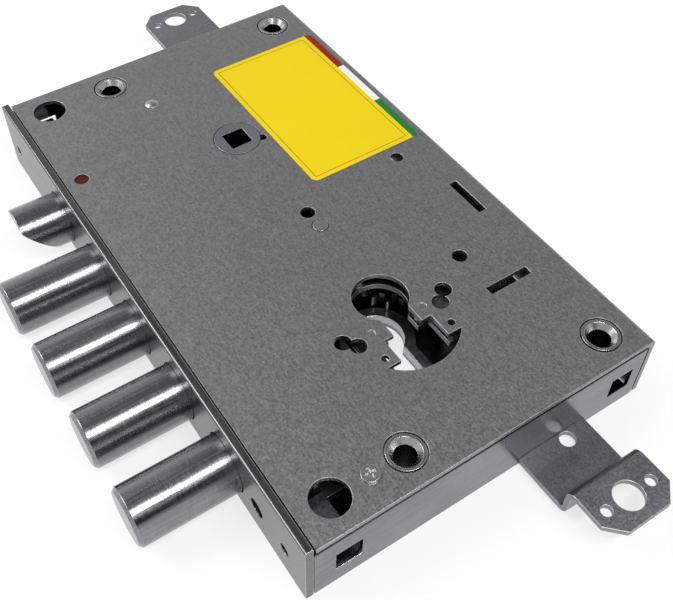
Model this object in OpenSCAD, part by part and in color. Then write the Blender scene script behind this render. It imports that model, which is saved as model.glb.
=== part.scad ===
// Multipoint mortice lock for an armoured door, lying on its back.
// X runs from the bolts to the back of the case, Y along the closing edge, Z up through the cover.
// The origin is the centre of the four fixing holes on the back face. All sizes are millimetres.
// The bolts are drawn thrown, with both rod lugs run out.

/* [Case] */
// Length of the case along the closing edge
case_length = 201; // [200:0.5:206]
// Depth of the case from the outer face of the face plate to the back
case_depth = 120; // [119:0.5:126]
// Thickness of the case over its cover
case_thickness = 25; // [24.5:0.5:28]
// Thickness of the tray's steel sheet
tray_sheet = 1.2; // [1:0.1:1.3]
// Thickness of the cover's steel sheet
cover_sheet = 1.5; // [1:0.1:2]
// Thickness of the face plate
face_sheet = 2.5; // [2:0.1:3]
// Height of the face plate, which stands a little above the cover
face_height = 26.5; // [26:0.5:30]

/* [Dead bolts] */
// Diameter of each dead bolt
bolt_diameter = 18; // [16:0.5:18]
// Distance between neighbouring dead bolts
bolt_pitch = 28; // [26:0.5:29]
// Distance from the near end of the case to the first dead bolt
bolt_first_y = 40.5; // [38:0.5:42]
// Height of the bolt axes above the back face
bolt_axis_z = 11.2; // [10.8:0.1:12]
// How far the thrown bolts stand out of the face plate
bolt_standout = 31; // [30.5:0.5:34]
// Length of the bolts inside the outer face of the face plate
bolt_inside = 14; // [12:0.5:14]

/* [Latch and handle hub] */
// How far the latch stands out of the face plate
latch_standout = 16; // [14.5:0.5:18]
// Distance from the face plate to the handle and cylinder axes
backset = 63; // [62:0.5:64]
// Distance from the cylinder axis to the handle axis
handle_distance = 85; // [84:0.5:88]
// Side of the square hole for the handle spindle
spindle_square = 8; // [7:0.5:9]
// Diameter of the hub's round ends
hub_diameter = 16; // [14.5:0.5:16]

/* [Cylinder] */
// Distance from the near end of the case to the cylinder axis
cylinder_y = 56.2; // [55.5:0.1:57]
// Diameter of the round part of the cylinder
cylinder_diameter = 17; // [16.5:0.1:17]
// Overall height of the cylinder's outline
cylinder_height = 33; // [32:0.5:33]
// Width of the flat part of the cylinder
cylinder_neck = 10; // [9.5:0.1:10]

/* [Vertical rods] */
// Width of each rod lug
rod_width = 25; // [24:0.5:26]
// Thickness of the rod plates
rod_sheet = 1.8; // [1.5:0.1:2]
// How far the far lug stands out of the case when thrown
far_lug_standout = 39; // [36:0.5:44]
// How far the near lug stands out of the case when thrown
near_lug_standout = 35.5; // [34:0.5:40]
// Radius of the rod hole in each lug
lug_hole_radius = 4.5; // [4:0.1:5]

/* [Fixing] */
// Distance from the outer face of the face plate to the first fixing holes
fixing_front_margin = 38; // [37:0.5:39]
// Distance from the back of the case to the other fixing holes
fixing_back_margin = 12; // [11.5:0.5:13]
// Distance from each end of the case to its fixing holes
fixing_end_margin = 10; // [9.5:0.5:10.5]
// Radius of the fixing holes
fixing_hole_radius = 3.25; // [3:0.05:3.5]

/* [Label] */
// Length of the label along the case
label_length = 70; // [60:1:72]
// Width of the label
label_width = 43.5; // [40:0.5:44]

/* [Hidden] */
$fn = 96;

// Clearances that every fit below is drawn with
gap = 0.3;
running_fit = 0.05;
bolt_clearance = 0.4;
cut = 1;
lap = 0.02;

// Case
flange_x = case_depth - cover_sheet;
front_x = face_sheet + gap;
seam = 0.8;
cover_z = case_thickness - cover_sheet;
wall_top_z = cover_z - seam;
wall_back_x = flange_x - seam;
bend_radius = 1.5;
origin_x = (fixing_front_margin + case_depth - fixing_back_margin) / 2;
origin_y = case_length / 2;
bush_spigot_radius = 5.6;
bush_groove = 0.6;
bush_body_radius = 7;
bush_sink_radius = 4.7;
bush_sink_depth = 1.7;
round_window_radius = 5.75;
round_window_x = 14;
end_window_side = 8.5;
end_window_z = 11;
end_window_x = [13.6, case_depth - 10];

// Face plate
face_chamfer = 0.4;
face_screw_radius = 2.1;
face_screw_y = [10.2, case_length - 7.7];
face_hole_radius = 3.2;
face_hole_y = 24.2;
block_depth = 12;
block_width = 11;
block_bottom_z = 5;
block_height = 11;
block_thread_radius = 1.65;

// Bolts and carrier
bolt_radius = bolt_diameter / 2;
bolt_chamfer = 1;
bolt_count = 4;
bolt_travel = 30;
bolt_screw_radius = 3;
bolt_screw_head_radius = 5.5;
bolt_screw_length = 12;
carrier_sheet = 3;
carrier_bar_x = bolt_inside;
carrier_bar_low_z = 2.5;
carrier_bar_high_z = 20;
carrier_bar_high_y = bolt_first_y + (bolt_count - 1) * bolt_pitch + 9.5;
carrier_arm_z = 5.5;
carrier_arm_width = 12;
carrier_low_arm_y = [17.5, 26];
carrier_low_arm_end_x = 62;
carrier_post_x = 54;
carrier_low_post_y = 21.7;

// Gears
pressure_angle = 25;
tooth_thinning = 0.3;
addendum = 0.9;
dedendum = 1.2;
rack_strip = 1;
big_module = 1.5;
small_module = 1;
drive_teeth = 20;
step_teeth = 16;
input_teeth = 12;
pinion_teeth = 12;
drive_radius = big_module * drive_teeth / 2;
step_radius = small_module * step_teeth / 2;
input_radius = big_module * input_teeth / 2;
pinion_radius = small_module * pinion_teeth / 2;
rod_travel = bolt_travel * step_radius / drive_radius;
gear_x = backset + 1.3;
gear_y = cylinder_y + 34.4;
rack_root_y = gear_y + drive_radius + dedendum * big_module;
carrier_high_post_y = rack_root_y + carrier_arm_width / 2;
gear_z = 5.1;
gear_height = 4;
step_top_z = 13.9;
input_direction = -54;
input_x = gear_x + (drive_radius + input_radius) * cos(input_direction);
input_y = gear_y + (drive_radius + input_radius) * sin(input_direction);
input_tooth_angle = 180 + input_direction + 180 / input_teeth;

// Rods
far_rod_z = 11;
near_rod_z = tray_sheet + 0.2;
rod_left_x = gear_x + step_radius + 0.2;
rod_x = rod_left_x + rod_width / 2;
far_rack_right_x = rod_x + 2.2;
pinion_x = far_rack_right_x + pinion_radius;
pinion_y = cylinder_y - 0.2;
near_rack_x = pinion_x + pinion_radius;
pinion_z = [tray_sheet + gap, 13.6];
lug_corner = 5;
lug_hole_inset = 7.7;
lug_small_radius = 1.7;
lug_small_spacing = 8.2;
near_bend_y = -19.6;
near_bend_radius = 3;
near_plate_hole = [3.7, -2.9];
near_plate_hole_radius = 2.5;
near_plate_end_y = 30;
near_arm_low_y = 18;
near_arm_right_x = near_rack_x + 7.3;
near_post_y = 22;
far_post_y = [cylinder_y + handle_distance - 13.2, case_length - 29];
far_wide_y = rack_root_y + 5.6;
far_mid_y = gear_y - 5.6;
far_strip_x = rod_x - 5.2;
far_strip_y = pinion_y - 7;

// Studs and the push-on washers that all of them take
stud_radius = 2.5;
stud_foot_radius = 4.5;
stud_end = 0.4;
washer_sheet = 0.8;
washer_radius = 4.5;

// Latch and hub
cam_sweep = 60;
lever_radius = 14;
lever_tip_radius = 2.5;
lever_half_width = 1.5;
lever_z = 6.2;
hub_x = backset;
hub_y = cylinder_y + handle_distance;
hub_radius = hub_diameter / 2;
hub_waist_radius = 7.5;
hub_rim_radius = 9.3;
hub_rim_height = 3.5;
hub_notch = [7.6, -4.3];
hub_notch_radius = 1.6;
latch_y = hub_y + lever_radius * cos(cam_sweep / 2);
latch_head_x = 10;
latch_nose = 3;
latch_bevel_x = -2;
latch_stem_radius = 3;
latch_guide_x = 36;
latch_guide_sheet = 2.5;
latch_tail_x = 41.5;
latch_tail_block = 6;
fork_x = hub_x - lever_radius * sin(cam_sweep / 2);
fork_low_y = hub_y + 10.8;
fork_floor_y = latch_y + lever_tip_radius + 2.3;
fork_relief = 2;
fork_high_y = latch_y + 9;
fork_right = 3.6;
spring_wire = 0.9;
spring_radius = 5;
spring_turns = 7;

// Cylinder opening in the cover
cylinder_x = backset;
opening_lobe_radius = cylinder_diameter / 2 + 0.25;
opening_neck_half = cylinder_neck / 2 + 0.1;
opening_step_half = 8.5;
opening_step_y = cylinder_y - 13.7;
opening_arc_y = cylinder_y - 22;
opening_arc_radius = 17.4;
opening_arc_centre_y = cylinder_y - 10.8;
collar_wall = 3.4;
collar_top_z = 4.6;
guard_hole_radius = 2.7;
guard_holes_left = [[-18.9, -7.9], [-15.8, -11.2]];
guard_holes_right = [[17.6, -7.9], [13.9, -11.3]];
guard_z = 18.2;
guard_sheet = 1.8;
guard_left_x = carrier_bar_x + carrier_sheet + bolt_travel + 0.8;
guard_right_x = cylinder_x + 23.5;
guard_low_y = cylinder_y - 12.2;
guard_tab_y = cylinder_y - 22;
guard_tab_half = 9.5;
guard_tab_width = 6;
guard_shoulder_y = cylinder_y + 4;
guard_top_y = cylinder_y + 14.2;
guard_top_half = 7;
guard_post_radius = 2;
guard_posts = [[-10.1, -9.6], [8.5, -9.6], [0, 11.6]];
opening_pin_radius = 1.2;
opening_pin = [11.9, -19];
dimple_radius = 1.3;
dimple_depth = 0.3;
dimples = [guard_posts[0], guard_posts[1]];

// Small holes in the cover, each as X, Y and radius
cover_holes = [
    [gear_x - 0.3, gear_y + 7, 2.5], [case_depth - 16.4, gear_y + 12.2, 2.2], [pinion_x, pinion_y, 2.5]
];
slot_length = 15.6;
slot_width = 3;
long_slot = [case_depth - 8.3, cylinder_y + 18.8];
cross_slot = [case_depth - 20.6, cylinder_y - 16];
mark_hole = [9.1, latch_y - 1.2];
mark_radius = 2.4;
screw_at = [26.3, 9.7];
rivet_at = [46.5, latch_y + 21];
post_radius = 3.5;
fastener_shank_radius = 1.5;
fastener_head_radius = 2.6;
fastener_length = 8;
label_sheet = 0.2;
label_back_gap = 3;
label_end_y = case_length - 23;

// A box between two opposite corners
module box(low, high) {
    translate(low)
        cube(high - low);
}

// A round bar along Z between two heights
module bar_z(x, y, low, high, radius) {
    translate([x, y, low])
        cylinder(h = high - low, r = radius);
}

// A round bar along X between two positions
module bar_x(y, z, low, high, radius) {
    translate([low, y, z])
        rotate([0, 90, 0])
            cylinder(h = high - low, r = radius);
}

// A flat sheet of any outline between two heights
module sheet_z(low, high) {
    translate([0, 0, low])
        linear_extrude(height = high - low)
            children();
}

// A rectangle between two opposite corners
module area(low, high) {
    translate(low)
        square(high - low);
}

// A hole in a sheet, drawn past both of its faces
module hole_z(x, y, radius) {
    bar_z(x, y, -cut, case_thickness + cut, radius);
}

// A long hole along Y between two centres
module slot_y(x, low, high, radius) {
    translate([x, low])
        circle(r = radius);
    translate([x, high])
        circle(r = radius);
    area([x - radius, low], [x + radius, high]);
}

// A long hole along X between two centres
module slot_x(y, low, high, radius) {
    translate([low, y])
        circle(r = radius);
    translate([high, y])
        circle(r = radius);
    area([low, y - radius], [high, y + radius]);
}

// How far an involute has turned, in degrees, where its pressure angle is the given one
function involute(angle) = tan(angle) * 180 / PI - angle;

// Half of the angle that one tooth takes up at a radius
function tooth_half(teeth, pitch_radius, radius) =
    let (base = pitch_radius * cos(pressure_angle))
    90 / teeth - tooth_thinning / 2 / pitch_radius * 180 / PI
    + involute(pressure_angle) - (radius > base ? involute(acos(base / radius)) : 0);

// The radii at which a tooth's flank is drawn, from its root to its tip
function flank_radii(size, pitch_radius) =
    let (low = pitch_radius - dedendum * size, high = pitch_radius + addendum * size)
    [for (step = [0 : 5]) low + (high - low) * step / 5];

// The outline of a spur gear with one tooth on the X axis
module gear_outline(teeth, size) {
    pitch_radius = teeth * size / 2;
    radii = flank_radii(size, pitch_radius);
    last = len(radii) - 1;
    points = [
        for (tooth = [0 : teeth - 1]) each [
            for (i = [0 : last])
                let (turn = tooth * 360 / teeth - tooth_half(teeth, pitch_radius, radii[i]))
                radii[i] * [cos(turn), sin(turn)],
            for (i = [last : -1 : 0])
                let (turn = tooth * 360 / teeth + tooth_half(teeth, pitch_radius, radii[i]))
                radii[i] * [cos(turn), sin(turn)]
        ]
    ];
    polygon(points);
}

// A rack that points to +Y from a pitch line on the X axis, with a gap at X = 0 and a thin strip under it
module rack_teeth(size, first, last) {
    spacing = PI * size;
    half = (spacing / 2 - tooth_thinning) / 2;
    tip = half - addendum * size * tan(pressure_angle);
    root = half + dedendum * size * tan(pressure_angle);
    strip_y = -dedendum * size - rack_strip;
    teeth = [
        for (tooth = [last : -1 : first])
            let (x = (tooth + 0.5) * spacing)
            each [
                [x + root, -dedendum * size], [x + tip, addendum * size],
                [x - tip, addendum * size], [x - root, -dedendum * size]
            ]
    ];
    polygon(concat([[first * spacing, strip_y], [(last + 1) * spacing, strip_y]],
        [[(last + 1) * spacing, -dedendum * size]], teeth, [[first * spacing, -dedendum * size]]));
}

// Repeats its children at the four fixing holes
module at_fixings() {
    for (x = [fixing_front_margin, case_depth - fixing_back_margin])
        for (y = [fixing_end_margin, case_length - fixing_end_margin])
            translate([x, y, 0])
                children();
}

// The position of one dead bolt along the case, counted from the near end
function bolt_y(index) = bolt_first_y + index * bolt_pitch;

// Holes through the front of the case for the dead bolts and the latch
module bolt_holes(clearance) {
    for (index = [0 : bolt_count - 1])
        bar_x(bolt_y(index), bolt_axis_z, -cut, bolt_inside, bolt_radius + clearance);
    bar_x(latch_y, bolt_axis_z, -cut, bolt_inside, bolt_radius + clearance);
}

// The outline of the profile cylinder's hole, grown by a margin
module cylinder_outline(margin) {
    neck_half = opening_neck_half + margin;
    foot_y = cylinder_y + cylinder_diameter / 2 - cylinder_height + cylinder_neck / 2;
    translate([cylinder_x, cylinder_y])
        circle(r = opening_lobe_radius + margin);
    slot_y(cylinder_x, foot_y, cylinder_y, neck_half);
}

module case_tray() {
    color("lightsteelblue")
    difference() {
        union() {
            box([front_x, 0, 0], [wall_back_x, case_length, tray_sheet]);
            box([front_x, 0, 0], [wall_back_x, tray_sheet, wall_top_z]);
            box([front_x, case_length - tray_sheet, 0], [wall_back_x, case_length, wall_top_z]);
            box([front_x, 0, 0], [front_x + tray_sheet, case_length, wall_top_z]);
        }
        bolt_holes(bolt_clearance + gap);
        at_fixings()
            hole_z(0, 0, bush_spigot_radius + running_fit);
        hole_z(hub_x, hub_y, hub_radius + running_fit);
        sheet_z(-cut, tray_sheet + cut)
            cylinder_outline(0);
        for (x = end_window_x)
            translate([x - end_window_side / 2, -cut, end_window_z - end_window_side / 2])
                cube([end_window_side, case_length + 2 * cut, end_window_side]);
        rod_slits();
        face_screw_holes(tray_sheet + front_x);
    }
}

// Slits in the end walls for the two rod plates
module rod_slits() {
    left = rod_left_x - gap;
    right = rod_left_x + rod_width + gap;
    box([left, -cut, tray_sheet], [right, tray_sheet + cut, near_rod_z + rod_sheet + gap]);
    box([left, case_length - tray_sheet - cut, far_rod_z - gap],
        [right, case_length + cut, far_rod_z + rod_sheet + gap]);
}

// Screw and pin holes through the face plate and the wall behind it
module face_screw_holes(depth) {
    for (y = face_screw_y)
        bar_x(y, end_window_z, -cut, depth + cut, face_screw_radius);
    bar_x(face_hole_y, end_window_z, -cut, depth + cut, face_hole_radius);
}

// The bent section of the cover, drawn in X and Z
module cover_section() {
    area([face_sheet + seam, cover_z], [case_depth - bend_radius, case_thickness]);
    area([flange_x, gap], [case_depth, case_thickness - bend_radius]);
    intersection() {
        area([flange_x - cut, cover_z - cut], [case_depth, case_thickness]);
        translate([case_depth - bend_radius, case_thickness - bend_radius])
            circle(r = bend_radius);
    }
}

// The cylinder opening in the cover: a round top, a stepped neck and a wide round foot
module cover_opening() {
    translate([cylinder_x, cylinder_y])
        circle(r = opening_lobe_radius);
    area([cylinder_x - opening_neck_half, opening_step_y], [cylinder_x + opening_neck_half, cylinder_y]);
    area([cylinder_x - opening_step_half, opening_arc_y - cut],
        [cylinder_x + opening_step_half, opening_step_y]);
    intersection() {
        translate([cylinder_x, opening_arc_centre_y])
            circle(r = opening_arc_radius);
        area([0, 0], [case_depth, opening_arc_y]);
    }
}

// The overlapping drilled holes beside the cylinder and the small holes at its foot
module guard_holes() {
    for (at = concat(guard_holes_left, guard_holes_right))
        translate([cylinder_x + at[0], cylinder_y + at[1]])
            circle(r = guard_hole_radius);
    for (side = [-1, 1])
        translate([cylinder_x + side * opening_pin[0], cylinder_y + opening_pin[1]])
            circle(r = opening_pin_radius);
}

module cover_plate() {
    color("silver")
    difference() {
        translate([0, case_length, 0])
            rotate([90, 0, 0])
                linear_extrude(height = case_length)
                    cover_section();
        sheet_z(cover_z - cut, case_thickness + cut) {
            cover_opening();
            guard_holes();
            for (hole = cover_holes)
                translate([hole[0], hole[1]])
                    circle(r = hole[2]);
            for (y = [fixing_end_margin, case_length - fixing_end_margin])
                translate([round_window_x, y])
                    circle(r = round_window_radius);
            translate(long_slot)
                square([slot_width, slot_length], center = true);
            translate(cross_slot)
                square([slot_length, slot_width], center = true);
            translate(mark_hole)
                circle(r = mark_radius + running_fit);
            for (at = [screw_at, rivet_at])
                translate(at)
                    circle(r = fastener_shank_radius + running_fit);
            translate([gear_x, gear_y])
                circle(r = stud_radius + gap);
            translate([hub_x, hub_y]) {
                circle(r = hub_radius + gap);
                translate(hub_notch)
                    circle(r = hub_notch_radius);
            }
        }
        at_fixings()
            bar_z(0, 0, cover_z - cut, case_thickness + cut, bush_spigot_radius + bush_groove);
        for (at = dimples)
            bar_z(cylinder_x + at[0], cylinder_y + at[1], case_thickness - dimple_depth, case_thickness + cut,
                dimple_radius);
    }
}

module face_plate() {
    chamfered = [
        [face_chamfer, 0], [face_sheet, 0], [face_sheet, face_height], [face_chamfer, face_height],
        [0, face_height - face_chamfer], [0, face_chamfer]
    ];
    color("gainsboro")
    difference() {
        translate([0, case_length, 0])
            rotate([90, 0, 0])
                linear_extrude(height = case_length)
                    polygon(chamfered);
        bolt_holes(bolt_clearance);
        face_screw_holes(face_sheet);
    }
}

// Four shouldered tubes that hold tray and cover apart and take the fixing screws
module fixing_bushes() {
    color("whitesmoke")
    at_fixings()
        difference() {
            union() {
                bar_z(0, 0, 0, case_thickness, bush_spigot_radius);
                bar_z(0, 0, tray_sheet, cover_z, bush_body_radius);
            }
            hole_z(0, 0, fixing_hole_radius);
            translate([0, 0, case_thickness - bush_sink_depth])
                cylinder(h = bush_sink_depth, r1 = fixing_hole_radius, r2 = bush_sink_radius);
        }
}

// Two tubes between tray and cover, one for the cover screw and one for the rivet
module spacer_posts() {
    color("darkgray")
    for (at = [screw_at, rivet_at])
        difference() {
            bar_z(at[0], at[1], tray_sheet, cover_z, post_radius);
            bar_z(at[0], at[1], cover_z - fastener_length, cover_z + cut,
                fastener_shank_radius + running_fit);
        }
}

module cover_screw() {
    head_height = 0.9;
    recess_half = 0.35;
    recess_length = 1.5;
    color("lightgray")
    difference() {
        union() {
            bar_z(screw_at[0], screw_at[1], cover_z - fastener_length + gap, case_thickness + gap,
                fastener_shank_radius);
            bar_z(screw_at[0], screw_at[1], case_thickness, case_thickness + head_height, fastener_head_radius);
        }
        for (turn = [0, 90])
            translate([screw_at[0], screw_at[1], case_thickness + head_height / 2])
                rotate([0, 0, turn])
                    translate([-recess_length, -recess_half, 0])
                        cube([2 * recess_length, 2 * recess_half, head_height]);
    }
}

module cover_rivet() {
    head_height = 0.7;
    dome = (pow(fastener_head_radius, 2) + pow(head_height, 2)) / (2 * head_height);
    color("lightgray") {
        bar_z(rivet_at[0], rivet_at[1], cover_z - fastener_length + gap, case_thickness + head_height / 2,
            fastener_shank_radius);
        intersection() {
            translate([rivet_at[0], rivet_at[1], case_thickness + head_height - dome])
                sphere(r = dome);
            bar_z(rivet_at[0], rivet_at[1], case_thickness, case_thickness + 2 * head_height,
                fastener_head_radius);
        }
    }
}

// Two tapped blocks behind the face plate for its own screws
module face_screw_blocks() {
    low_x = front_x + tray_sheet;
    color("whitesmoke")
    for (y = face_screw_y)
        difference() {
            translate([low_x, y - block_width / 2 + (y < origin_y ? 0.8 : -0.8), block_bottom_z])
                cube([block_depth, block_width, block_height]);
            bar_x(y, end_window_z, low_x - cut, low_x + block_depth * 0.75, block_thread_radius);
        }
}

// One dead bolt, with a tapped hole in its inner end
module dead_bolt(index) {
    y = bolt_y(index);
    color("whitesmoke")
    difference() {
        union() {
            bar_x(y, bolt_axis_z, bolt_chamfer - bolt_standout, bolt_inside, bolt_radius);
            translate([-bolt_standout, y, bolt_axis_z])
                rotate([0, 90, 0])
                    cylinder(h = bolt_chamfer, r1 = bolt_radius - bolt_chamfer, r2 = bolt_radius);
        }
        bar_x(y, bolt_axis_z, bolt_inside - bolt_screw_length, bolt_inside + cut,
            bolt_screw_radius + running_fit);
    }
}

// The shape of one countersunk screw that holds a bolt to the carrier, grown by a clearance
module bolt_screw(index, clearance) {
    y = bolt_y(index);
    head = bolt_screw_head_radius + clearance;
    shank = bolt_screw_radius + clearance;
    back_x = carrier_bar_x + carrier_sheet;
    bar_x(y, bolt_axis_z, bolt_inside - bolt_screw_length + 2 * gap, back_x, shank);
    translate([back_x - (head - shank), y, bolt_axis_z])
        rotate([0, 90, 0])
            cylinder(h = head - shank, r1 = shank, r2 = head);
}

module bolt_screws() {
    socket_depth = 1.6;
    socket_radius = 2.2;
    back_x = carrier_bar_x + carrier_sheet;
    color("dimgray")
    for (index = [0 : bolt_count - 1])
        difference() {
            bolt_screw(index, 0);
            translate([back_x - socket_depth, bolt_y(index), bolt_axis_z])
                rotate([0, 90, 0])
                    cylinder(h = socket_depth + cut, r = socket_radius, $fn = 6);
        }
}

// The plate that joins the bolts, with the toothed arm that the drive gear moves
module bolt_carrier() {
    arm_top = carrier_arm_z + carrier_sheet;
    rack_y = gear_y + drive_radius;
    arm_high_y = rack_root_y + carrier_arm_width;
    arm_end_x = gear_x + 9.5;
    back_x = carrier_bar_x + carrier_sheet;
    slot_radius = stud_radius + gap;
    color("slategray")
    difference() {
        union() {
            box([carrier_bar_x, carrier_low_arm_y[0], carrier_bar_low_z],
                [back_x, carrier_bar_high_y, carrier_bar_high_z]);
            sheet_z(carrier_arm_z, arm_top) {
                area([carrier_bar_x, rack_root_y], [arm_end_x, arm_high_y]);
                area([carrier_bar_x, carrier_low_arm_y[0]], [carrier_low_arm_end_x, carrier_low_arm_y[1]]);
                translate([gear_x, rack_y])
                    mirror([0, 1])
                        rack_teeth(big_module, -8, 1);
            }
        }
        for (index = [0 : bolt_count - 1])
            bolt_screw(index, running_fit);
        sheet_z(carrier_arm_z - cut, arm_top + cut) {
            slot_x(carrier_high_post_y, carrier_post_x - bolt_travel, carrier_post_x, slot_radius);
            slot_x(carrier_low_post_y, carrier_post_x - bolt_travel, carrier_post_x, slot_radius);
        }
    }
}

// A stud on the tray with a wide foot under the piece it carries
module stud(at, foot_top, washer_z) {
    bar_z(at[0], at[1], tray_sheet, washer_z + washer_sheet + stud_end, stud_radius);
    if (foot_top > tray_sheet)
        bar_z(at[0], at[1], tray_sheet, foot_top, stud_foot_radius);
}

// The washer that is pushed on to a stud
module washer(at, washer_z) {
    difference() {
        bar_z(at[0], at[1], washer_z, washer_z + washer_sheet, washer_radius);
        bar_z(at[0], at[1], washer_z - cut, washer_z + washer_sheet + cut, stud_radius);
    }
}

// Where each stud stands, the top of its foot and the underside of its washer
carrier_studs = [
    [[carrier_post_x, carrier_high_post_y], carrier_arm_z - gap,
        carrier_arm_z + carrier_sheet + gap],
    [[carrier_post_x, carrier_low_post_y], carrier_arm_z - gap, carrier_arm_z + carrier_sheet + gap]
];
rod_studs = [
    [[rod_x, near_post_y], tray_sheet, near_rod_z + rod_sheet + gap],
    [[rod_x, far_post_y[0]], far_rod_z - gap, far_rod_z + rod_sheet + gap],
    [[rod_x, far_post_y[1]], far_rod_z - gap, far_rod_z + rod_sheet + gap]
];
drive_stud = [[gear_x, gear_y], gear_z - gap, step_top_z + gap];
input_stud = [[input_x, input_y], gear_z - gap, gear_z + gear_height + gap];
pinion_stud = [[pinion_x, pinion_y], tray_sheet, pinion_z[1] + gap];

module carrier_posts() {
    color("lightgray")
    for (place = carrier_studs)
        stud(place[0], place[1], place[2]);
}

module rod_guide_posts() {
    color("lightgray")
    for (place = rod_studs)
        stud(place[0], place[1], place[2]);
}

module retaining_washers() {
    color("dimgray")
    for (place = concat(carrier_studs, rod_studs, [drive_stud, input_stud, pinion_stud]))
        washer(place[0], place[2]);
}

// The sprung latch: a bevelled round head, a stem and a forked tail
module latch_bolt() {
    tail_top = lever_z + carrier_sheet;
    bottom_z = bolt_axis_z - bolt_radius - cut;
    top_z = bolt_axis_z + bolt_radius;
    outline = [
        [-latch_standout, top_z + cut], [-latch_standout, top_z - latch_nose],
        [latch_bevel_x, bolt_axis_z - bolt_radius], [latch_bevel_x, bottom_z], [latch_head_x + cut, bottom_z],
        [latch_head_x + cut, top_z + cut]
    ];
    color("whitesmoke") {
        intersection() {
            bar_x(latch_y, bolt_axis_z, -latch_standout, latch_head_x, bolt_radius);
            translate([0, latch_y + bolt_radius + cut, 0])
                rotate([90, 0, 0])
                    linear_extrude(height = 2 * (bolt_radius + cut))
                        polygon(outline);
        }
        bar_x(latch_y, bolt_axis_z, latch_head_x, latch_tail_x + latch_tail_block, latch_stem_radius);
        box([latch_tail_x, latch_y - latch_stem_radius, lever_z],
            [latch_tail_x + latch_tail_block, latch_y + latch_stem_radius, bolt_axis_z + latch_stem_radius]);
        sheet_z(lever_z, tail_top)
            difference() {
                area([latch_tail_x, latch_y - latch_stem_radius], [fork_x, fork_high_y]);
                area([fork_x - lever_tip_radius - gap, 0], [fork_x + cut, fork_floor_y]);
                area([fork_x - lever_tip_radius - gap - fork_relief, 0], [fork_x, fork_low_y]);
            }
        sheet_z(lever_z, tail_top) {
            area([fork_x - cut, fork_floor_y],
                [fork_x + lever_tip_radius + gap + fork_right, fork_high_y]);
            area([fork_x + lever_tip_radius + gap, fork_low_y],
                [fork_x + lever_tip_radius + gap + fork_right, fork_high_y]);
        }
    }
}

// The coil behind the latch head, drawn as touching rings so that it stays one piece
module latch_spring() {
    low_x = latch_head_x + gap;
    high_x = latch_guide_x - gap;
    step = (high_x - low_x - 2 * spring_wire) / (spring_turns - 1);
    inner = spring_radius - 0.35;
    color("dimgray")
    translate([low_x, latch_y, bolt_axis_z])
        rotate([0, 90, 0])
            rotate_extrude() {
                for (turn = [0 : spring_turns - 1])
                    translate([spring_radius, spring_wire + turn * step])
                        circle(r = spring_wire, $fn = 24);
                area([inner, spring_wire], [inner + 0.5, spring_wire + (spring_turns - 1) * step]);
            }
}

// The upright plate that the latch stem slides through
module latch_guide() {
    foot_length = 5;
    foot_sheet = 1.5;
    half_width = 7;
    color("silver")
    difference() {
        union() {
            box([latch_guide_x, latch_y - half_width, tray_sheet],
                [latch_guide_x + latch_guide_sheet, latch_y + half_width, carrier_bar_high_z]);
            box([latch_guide_x - foot_length, latch_y - half_width, tray_sheet],
                [latch_guide_x, latch_y + half_width, tray_sheet + foot_sheet]);
        }
        bar_x(latch_y, bolt_axis_z, latch_guide_x - cut, latch_guide_x + latch_guide_sheet + cut,
            latch_stem_radius + gap);
    }
}

// The hub that the handle spindle turns, with the lever that draws the latch back
module spindle_hub() {
    rim_low = tray_sheet + gap;
    rim_high = cover_z - gap;
    color("lightslategray")
    translate([hub_x, hub_y, 0])
        difference() {
            union() {
                bar_z(0, 0, 0, rim_low, hub_radius);
                bar_z(0, 0, rim_low, rim_low + hub_rim_height, hub_rim_radius);
                bar_z(0, 0, rim_low, rim_high, hub_waist_radius);
                bar_z(0, 0, rim_high - hub_rim_height, rim_high, hub_rim_radius);
                bar_z(0, 0, rim_high, case_thickness, hub_radius);
                sheet_z(lever_z, lever_z + carrier_sheet)
                    rotate(90 + cam_sweep / 2) {
                        area([0, -lever_half_width], [lever_radius, lever_half_width]);
                        translate([lever_radius, 0])
                            circle(r = lever_tip_radius);
                    }
            }
            translate([-spindle_square / 2, -spindle_square / 2, -cut])
                cube([spindle_square, spindle_square, case_thickness + 2 * cut]);
        }
}

// The two-step gear: the wide step moves the bolts, the narrow step moves the rods
module drive_gear() {
    color("goldenrod")
    translate([gear_x, gear_y, 0])
        difference() {
            union() {
                sheet_z(gear_z, gear_z + gear_height)
                    gear_outline(drive_teeth, big_module);
                sheet_z(gear_z + gear_height, step_top_z)
                    gear_outline(step_teeth, small_module);
            }
            hole_z(0, 0, stud_radius + running_fit);
        }
}

// The drive gear's axle, which ends flush in the cover
module drive_gear_axle() {
    color("lightgray") {
        stud(drive_stud[0], drive_stud[1], drive_stud[2]);
        bar_z(gear_x, gear_y, tray_sheet, case_thickness, stud_radius);
    }
}

// The gear that the cylinder's own toothed cam turns
module input_gear() {
    color("darkkhaki")
    translate([input_x, input_y, 0])
        difference() {
            sheet_z(gear_z, gear_z + gear_height)
                rotate(input_tooth_angle)
                    gear_outline(input_teeth, big_module);
            hole_z(0, 0, stud_radius + running_fit);
        }
}

module input_gear_axle() {
    color("lightgray")
    stud(input_stud[0], input_stud[1], input_stud[2]);
}

// The tall pinion between the two rod plates, which makes them move in opposite directions
module reversing_pinion() {
    color("darkgoldenrod")
    translate([pinion_x, pinion_y, 0])
        difference() {
            sheet_z(pinion_z[0], pinion_z[1])
                gear_outline(pinion_teeth, small_module);
            hole_z(0, 0, stud_radius + running_fit);
        }
}

module reversing_pinion_axle() {
    color("lightgray")
    stud(pinion_stud[0], pinion_stud[1], pinion_stud[2]);
}

// The near lug with its two cut corners, pointing to -Y from Y = 0
module near_lug_outline(length) {
    half = rod_width / 2;
    polygon([
        [-half, 0], [-half, lug_corner - length], [lug_corner - half, -length], [half - lug_corner, -length],
        [half, lug_corner - length], [half, 0]
    ]);
}

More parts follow.
